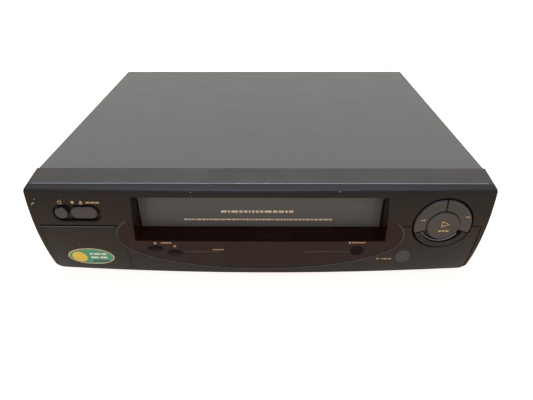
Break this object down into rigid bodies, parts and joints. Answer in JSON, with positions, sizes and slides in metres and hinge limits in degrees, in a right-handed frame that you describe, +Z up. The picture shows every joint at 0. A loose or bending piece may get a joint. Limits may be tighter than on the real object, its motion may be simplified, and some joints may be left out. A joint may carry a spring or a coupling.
{
  "type": "video cassette recorder",
  "caption": "Front-loading video cassette recorder: folded steel case, curved moulded front with sprung cassette door, jack flap and push buttons, and a helical-scan tape deck inside.",
  "frame": {"origin": "middle of the overall bounding box in plan, at the level of the feet", "axes": "+X to the right seen from the front, +Y to the rear (the front faces -Y), +Z up"},
  "size_m": [0.36, 0.309, 0.094],
  "materials": {
    "cover_paint": "satin warm-grey baked enamel on folded sheet steel",
    "zinc_steel": "zinc-plated sheet steel",
    "bezel_plastic": "satin brown-black moulded styrene",
    "smoked_window": "polished smoked acrylic",
    "foot_rubber": "matt black rubber",
    "dark_screw": "blackened steel screw",
    "circuit_board": "phenolic board with lacquer",
    "tube_glass": "clear glass envelope of a fluorescent display",
    "black_plastic": "black moulded plastic",
    "socket_metal": "nickel-plated brass sleeve",
    "winding_core": "varnished laminated core with a taped winding",
    "capacitor_sleeve": "blue sleeve over an aluminium can",
    "finned_aluminium": "black-brown or plain extruded fins",
    "screening_can": "tinned screening can, hollow in a real one",
    "grey_ribbon": "grey ribbon cable",
    "deck_steel": "pressed zinc-plated steel",
    "drum_aluminium": "fine-turned aluminium",
    "head_shield": "polished screening case",
    "bearing_brass": "turned brass",
    "turned_steel": "ground and polished steel",
    "belt_rubber": "matt black rubber",
    "deck_plastic": "natural white acetal",
    "door_plastic": "satin grey-black moulded plastic",
    "flap_plastic": "satin brown-black moulded styrene",
    "button_plastic": "satin grey-black moulded plastic"
  },
  "bodies": {
    "case": {"top_cover": "cover_paint", "bottom_chassis": "zinc_steel", "rear_panel": "zinc_steel", "front_bezel": "bezel_plastic", "display_window": "smoked_window", "ring_trim": "bezel_plastic", "feet": "foot_rubber", "cover_screws": "dark_screw", "front_board": "circuit_board", "display_tube": "tube_glass", "tact_switches": "black_plastic", "front_av_housing": "black_plastic", "front_av_jacks": "socket_metal", "main_board": "circuit_board", "power_transformer": "winding_core", "smoothing_capacitors": "capacitor_sleeve", "heat_sink": "finned_aluminium", "tuner_module": "screening_can", "rear_av_jacks": "black_plastic", "mains_inlet": "black_plastic", "ribbon_cable": "grey_ribbon", "deck_plate": "deck_steel", "lower_drum": "drum_aluminium", "erase_head": "head_shield", "audio_control_head": "head_shield", "capstan_bearing": "bearing_brass", "loading_motor": "turned_steel", "left_carriage_bracket": "deck_steel", "right_carriage_bracket": "deck_steel", "drive_belt": "belt_rubber", "door_spring": "turned_steel"},
    "door": {"cassette_door": "door_plastic"},
    "flap": {"av_flap": "flap_plastic"},
    "carriage": {"left_carriage_slider": "deck_steel", "right_carriage_slider": "deck_steel"},
    "holder": {"cassette_holder": "deck_steel"},
    "carriage_pinion": {"carriage_gear": "deck_plastic"},
    "drum_rotor": {"upper_drum": "drum_aluminium"},
    "capstan_rotor": {"capstan": "turned_steel"},
    "clutch": {"clutch_wheel": "deck_plastic"},
    "idler_lever": {"idler_arm": "deck_steel"},
    "idler_roller": {"idler_wheel": "belt_rubber"},
    "supply_reel": {"supply_reel_table": "deck_plastic"},
    "take_up_reel": {"take_up_reel_table": "deck_plastic"},
    "pinch_lever": {"pinch_roller_arm": "deck_steel"},
    "pressure_roller": {"pinch_roller": "belt_rubber"},
    "tension_lever": {"tension_arm": "deck_steel"},
    "supply_carrier": {"supply_guide": "turned_steel"},
    "take_up_carrier": {"take_up_guide": "turned_steel"},
    "mode_cam": {"cam_gear": "deck_plastic"},
    "worm": {"worm_shaft": "turned_steel"},
    "power_key": {"power_button": "button_plastic"},
    "stop_eject_key": {"stop_eject_button": "button_plastic"},
    "play_key": {"play_button": "button_plastic"},
    "rewind_key": {"rewind_button": "button_plastic"},
    "fast_forward_key": {"fast_forward_button": "button_plastic"},
    "pause_key": {"pause_button": "button_plastic"},
    "record_key": {"record_button": "button_plastic"},
    "program_down_key": {"program_down_button": "button_plastic"},
    "program_up_key": {"program_up_button": "button_plastic"}
  },
  "joints": [
    {"name": "door_hinge", "type": "hinge", "parent": "case", "child": "door", "pos_m": [0, -0.136, 0.0745], "axis": [1, 0, 0], "range_deg": [0, 88], "stiffness_Nm_per_rad": 0.004, "springref_deg": -28.65},
    {"name": "flap_hinge", "type": "hinge", "parent": "case", "child": "flap", "pos_m": [-0.1417, -0.1435, 0.013], "axis": [1, 0, 0], "range_deg": [0, 90]},
    {"name": "power_press", "type": "slide", "parent": "case", "child": "power_key", "axis": [0, 1, 0], "range_m": [0, 0.001], "stiffness_N_per_m": 400, "springref_m": -0.001},
    {"name": "stop_eject_press", "type": "slide", "parent": "case", "child": "stop_eject_key", "axis": [0, 1, 0], "range_m": [0, 0.001], "stiffness_N_per_m": 400, "springref_m": -0.001},
    {"name": "play_press", "type": "slide", "parent": "case", "child": "play_key", "axis": [0, 1, 0], "range_m": [0, 0.001], "stiffness_N_per_m": 400, "springref_m": -0.001},
    {"name": "rewind_press", "type": "slide", "parent": "case", "child": "rewind_key", "axis": [0, 1, 0], "range_m": [0, 0.001], "stiffness_N_per_m": 400, "springref_m": -0.001},
    {"name": "fast_forward_press", "type": "slide", "parent": "case", "child": "fast_forward_key", "axis": [0, 1, 0], "range_m": [0, 0.001], "stiffness_N_per_m": 400, "springref_m": -0.001},
    {"name": "pause_press", "type": "slide", "parent": "case", "child": "pause_key", "axis": [0, 1, 0], "range_m": [0, 0.001], "stiffness_N_per_m": 400, "springref_m": -0.001},
    {"name": "record_press", "type": "slide", "parent": "case", "child": "record_key", "axis": [0, 1, 0], "range_m": [0, 0.001], "stiffness_N_per_m": 400, "springref_m": -0.001},
    {"name": "program_down_press", "type": "slide", "parent": "case", "child": "program_down_key", "axis": [0, 1, 0], "range_m": [0, 0.001], "stiffness_N_per_m": 400, "springref_m": -0.001},
    {"name": "program_up_press", "type": "slide", "parent": "case", "child": "program_up_key", "axis": [0, 1, 0], "range_m": [0, 0.001], "stiffness_N_per_m": 400, "springref_m": -0.001},
    {"name": "carriage_slide", "type": "slide", "parent": "case", "child": "carriage", "axis": [0, 1, 0], "range_m": [0, 0.022]},
    {"name": "holder_drop", "type": "slide", "parent": "carriage", "child": "holder", "axis": [0, 0, -1], "range_m": [0, 0.012]},
    {"name": "carriage_gear_turn", "type": "hinge", "parent": "case", "child": "carriage_pinion", "pos_m": [0.0995, -0.0655, 0.04], "axis": [-1, 0, 0], "range_deg": [0, 181]},
    {"name": "drum_spin", "type": "hinge", "parent": "case", "child": "drum_rotor", "pos_m": [0, 0.0515, 0.0482], "axis": [0, 0.0872, 0.9962], "continuous": true},
    {"name": "capstan_spin", "type": "hinge", "parent": "case", "child": "capstan_rotor", "pos_m": [0.05, 0.0195, 0.03], "axis": [0, 0, 1], "continuous": true},
    {"name": "supply_reel_spin", "type": "hinge", "parent": "case", "child": "supply_reel", "pos_m": [-0.046, -0.0515, 0.035], "axis": [0, 0, 1], "continuous": true},
    {"name": "take_up_reel_spin", "type": "hinge", "parent": "case", "child": "take_up_reel", "pos_m": [0.046, -0.0515, 0.035], "axis": [0, 0, 1], "continuous": true},
    {"name": "clutch_spin", "type": "hinge", "parent": "case", "child": "clutch", "pos_m": [0, -0.0745, 0.025], "axis": [0, 0, 1], "continuous": true},
    {"name": "idler_swing", "type": "hinge", "parent": "case", "child": "idler_lever", "pos_m": [0, -0.0745, 0.0313], "axis": [0, 0, 1], "range_deg": [-51, 51]},
    {"name": "idler_spin", "type": "hinge", "parent": "idler_lever", "child": "idler_roller", "pos_m": [0, -0.0532, 0.0335], "axis": [0, 0, 1], "continuous": true},
    {"name": "pinch_swing", "type": "hinge", "parent": "case", "child": "pinch_lever", "pos_m": [0.076, 0.0045, 0.0355], "axis": [0, 0, -1], "range_deg": [0, 30], "stiffness_Nm_per_rad": 0.02, "springref_deg": -17.19},
    {"name": "pinch_roll", "type": "hinge", "parent": "pinch_lever", "child": "pressure_roller", "pos_m": [0.0545, 0.0009, 0.047], "axis": [0, 0, 1], "continuous": true},
    {"name": "tension_swing", "type": "hinge", "parent": "case", "child": "tension_lever", "pos_m": [-0.08, -0.0105, 0.032], "axis": [0, 0, 1], "range_deg": [0, 20], "stiffness_Nm_per_rad": 0.01, "springref_deg": -11.46},
    {"name": "mode_cam_turn", "type": "hinge", "parent": "case", "child": "mode_cam", "pos_m": [0.084, 0.0925, 0.038], "axis": [0, 0, 1], "range_deg": [0, 270]},
    {"name": "worm_turn", "type": "hinge", "parent": "case", "child": "worm", "pos_m": [0.084, 0.0732, 0.0385], "axis": [1, 0, 0], "continuous": true},
    {"name": "supply_guide_load", "type": "slide", "parent": "case", "child": "supply_carrier", "axis": [-0.2696, 0.963, 0], "range_m": [0, 0.0519]},
    {"name": "take_up_guide_load", "type": "slide", "parent": "case", "child": "take_up_carrier", "axis": [0.2696, 0.963, 0], "range_m": [0, 0.0519]}
  ],
  "couplings": [
    {"joint": "carriage_gear_turn", "follows": "carriage_slide", "rad_per_m": 142.86},
    {"joint": "clutch_spin", "follows": "capstan_spin", "ratio": 0.35714},
    {"joint": "idler_spin", "follows": "capstan_spin", "ratio": -0.21978},
    {"joint": "worm_turn", "follows": "mode_cam_turn", "ratio": 30},
    {"joint": "supply_guide_load", "follows": "mode_cam_turn", "m_per_rad": 0.011},
    {"joint": "take_up_guide_load", "follows": "mode_cam_turn", "m_per_rad": 0.011}
  ]
}
